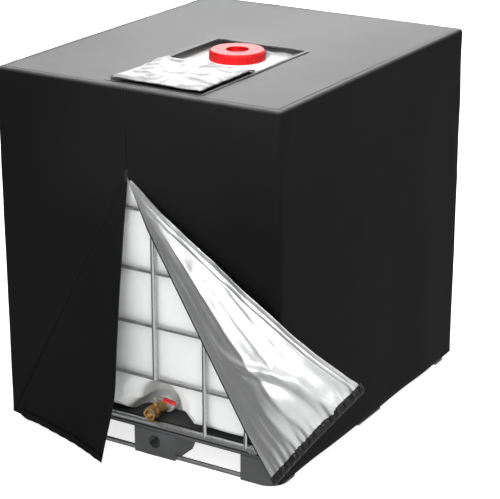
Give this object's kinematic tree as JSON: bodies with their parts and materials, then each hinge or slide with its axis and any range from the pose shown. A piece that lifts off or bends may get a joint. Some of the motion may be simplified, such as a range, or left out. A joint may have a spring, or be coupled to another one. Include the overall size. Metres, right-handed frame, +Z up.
{
  "type": "intermediate bulk container",
  "caption": "Pallet tank for liquids in a tube cage, with a brass ball valve outlet, a screw lid and a lined zip-up protective cover.",
  "frame": {"origin": "floor level at the middle of the pallet, on the underside of the centre foot", "axes": "+Z up, -Y out of the front with the valve, +X to the right seen from the front"},
  "size_m": [1.237, 1.3516, 1.18],
  "materials": {
    "pallet_plastic": "moulded, fine grain",
    "galvanised_tube": "hot-dip galvanised",
    "zinc_screw": "zinc plated",
    "bottle_plastic": "blow-moulded, translucent white",
    "red_plastic": "injection moulded",
    "rubber_seal": "moulded",
    "white_plastic": "injection moulded",
    "brass": "forged, tumbled",
    "plated_steel": "nickel plated",
    "seat_plastic": "turned",
    "red_vinyl": "dipped vinyl",
    "cover_cloth": "coated polyester, woven, with a silver lining",
    "black_tape": "woven tape",
    "zip_teeth": "moulded coil",
    "black_zinc": "black lacquer"
  },
  "bodies": {
    "container": {"bottle": "bottle_plastic", "cage_base_rail": "galvanised_tube", "cage_clamps": "galvanised_tube", "cage_hoop_1": "galvanised_tube", "cage_hoop_2": "galvanised_tube", "cage_hoop_3": "galvanised_tube", "cage_hoop_4": "galvanised_tube", "cage_hoop_5": "galvanised_tube", "cage_top_rail": "galvanised_tube", "cage_uprights_back": "galvanised_tube", "cage_uprights_front": "galvanised_tube", "cage_uprights_left": "galvanised_tube", "cage_uprights_right": "galvanised_tube", "clamp_screws": "zinc_screw", "foot_back_left": "pallet_plastic", "foot_back_middle": "pallet_plastic", "foot_back_right": "pallet_plastic", "foot_centre": "pallet_plastic", "foot_front_left": "pallet_plastic", "foot_front_middle": "pallet_plastic", "foot_front_right": "pallet_plastic", "foot_left_middle": "pallet_plastic", "foot_right_middle": "pallet_plastic", "foot_screws": "zinc_screw", "gland_nut": "zinc_screw", "outlet_adaptor": "white_plastic", "outlet_gasket": "rubber_seal", "pallet_deck": "pallet_plastic", "skid_frame": "galvanised_tube", "skid_runner": "galvanised_tube", "stem_packing": "seat_plastic", "top_bar_back": "galvanised_tube", "top_bar_front": "galvanised_tube", "top_bar_screws": "zinc_screw", "valve_body": "brass", "valve_end_cap": "brass", "valve_seats": "seat_plastic"},
    "valve_handle": {"valve_lever": "plated_steel", "lever_grip": "red_vinyl", "lever_nut": "zinc_screw", "valve_stem": "plated_steel", "valve_ball": "plated_steel"},
    "lid_seal_ring": {"lid_seal": "rubber_seal"},
    "lid": {"lid": "red_plastic"},
    "cover": {"cover_top": "cover_cloth", "cover_front": "cover_cloth", "cover_back": "cover_cloth", "cover_left": "cover_cloth", "cover_right": "cover_cloth", "window_panel": "cover_cloth", "window_binding": "black_tape", "zip_chain": "zip_teeth", "zip_tape": "black_tape"},
    "window_flap": {"window_flap": "cover_cloth"},
    "flap_left": {"front_flap_left": "cover_cloth", "tape_on_left_flap": "black_tape"},
    "flap_right": {"front_flap_right": "cover_cloth", "tape_on_right_flap": "black_tape"},
    "zip_slider": {"zip_slider": "black_zinc"},
    "zip_pull": {"zip_pull": "black_zinc"}
  },
  "joints": [
    {"name": "valve_turn", "type": "hinge", "parent": "container", "child": "valve_handle", "pos_m": [0.034, -0.558, 0.1355], "axis": [0, 0, 1], "range_deg": [-90, 0]},
    {"name": "lid_rise", "type": "slide", "parent": "container", "child": "lid_seal_ring", "axis": [0, 0, 1], "range_m": [0, 0.014]},
    {"name": "lid_turn", "type": "hinge", "parent": "lid_seal_ring", "child": "lid", "pos_m": [0.022, -0.048, 1.164], "axis": [0, 0, 1], "range_deg": [0, 720]},
    {"name": "cover_lift", "type": "slide", "parent": "container", "child": "cover", "axis": [0, 0, 1], "range_m": [0, 1.2]},
    {"name": "window_fold", "type": "hinge", "parent": "cover", "child": "window_flap", "pos_m": [0.0515, -0.256, 1.17675], "axis": [-1, 0, 0], "range_deg": [0, 170]},
    {"name": "left_flap_fold", "type": "hinge", "parent": "cover", "child": "flap_left", "pos_m": [-0.023, -0.606, 0.904], "axis": [-0.4734, 0, -0.8809], "range_deg": [-20, 150]},
    {"name": "right_flap_fold", "type": "hinge", "parent": "cover", "child": "flap_right", "pos_m": [-0.023, -0.612, 0.904], "axis": [0.5079, 0, -0.8614], "range_deg": [0, 168]},
    {"name": "zip_slide", "type": "slide", "parent": "cover", "child": "zip_slider", "axis": [0, 0, 1], "range_m": [0, 0.22]},
    {"name": "pull_swing", "type": "hinge", "parent": "zip_slider", "child": "zip_pull", "pos_m": [-0.023, -0.6081, 0.914], "axis": [-1, 0, 0], "range_deg": [0, 160]}
  ],
  "couplings": [
    {"joint": "lid_rise", "follows": "lid_turn", "m_per_rad": 0.0011141}
  ]
}
